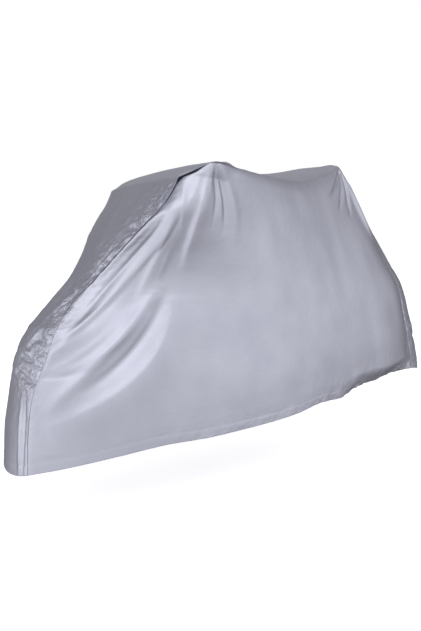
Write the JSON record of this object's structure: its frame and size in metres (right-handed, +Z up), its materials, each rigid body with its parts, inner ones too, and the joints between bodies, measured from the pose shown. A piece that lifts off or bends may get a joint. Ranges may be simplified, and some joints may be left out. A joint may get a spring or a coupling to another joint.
{
  "type": "bicycle cover",
  "caption": "Fitted cloth cover that drapes over a bicycle to keep rain and dust off, with side panels sewn to a long gusset and an open, elasticated hem.",
  "frame": {"origin": "centre of the bounding box at the height of the lowest hem", "axes": "X runs along the bicycle with the front wheel towards -X, Y across it, Z up"},
  "size_m": [1.838, 0.617, 0.9708],
  "materials": {
    "gusset_cloth": "silver-grey coated polyester, half gloss, gathered along its seams",
    "side_panel_cloth": "silver-grey coated polyester, half gloss, smooth with soft drape folds"
  },
  "bodies": {
    "root": {"gusset": "gusset_cloth", "near_side_panel": "side_panel_cloth", "far_side_panel": "side_panel_cloth"}
  },
  "joints": []
}
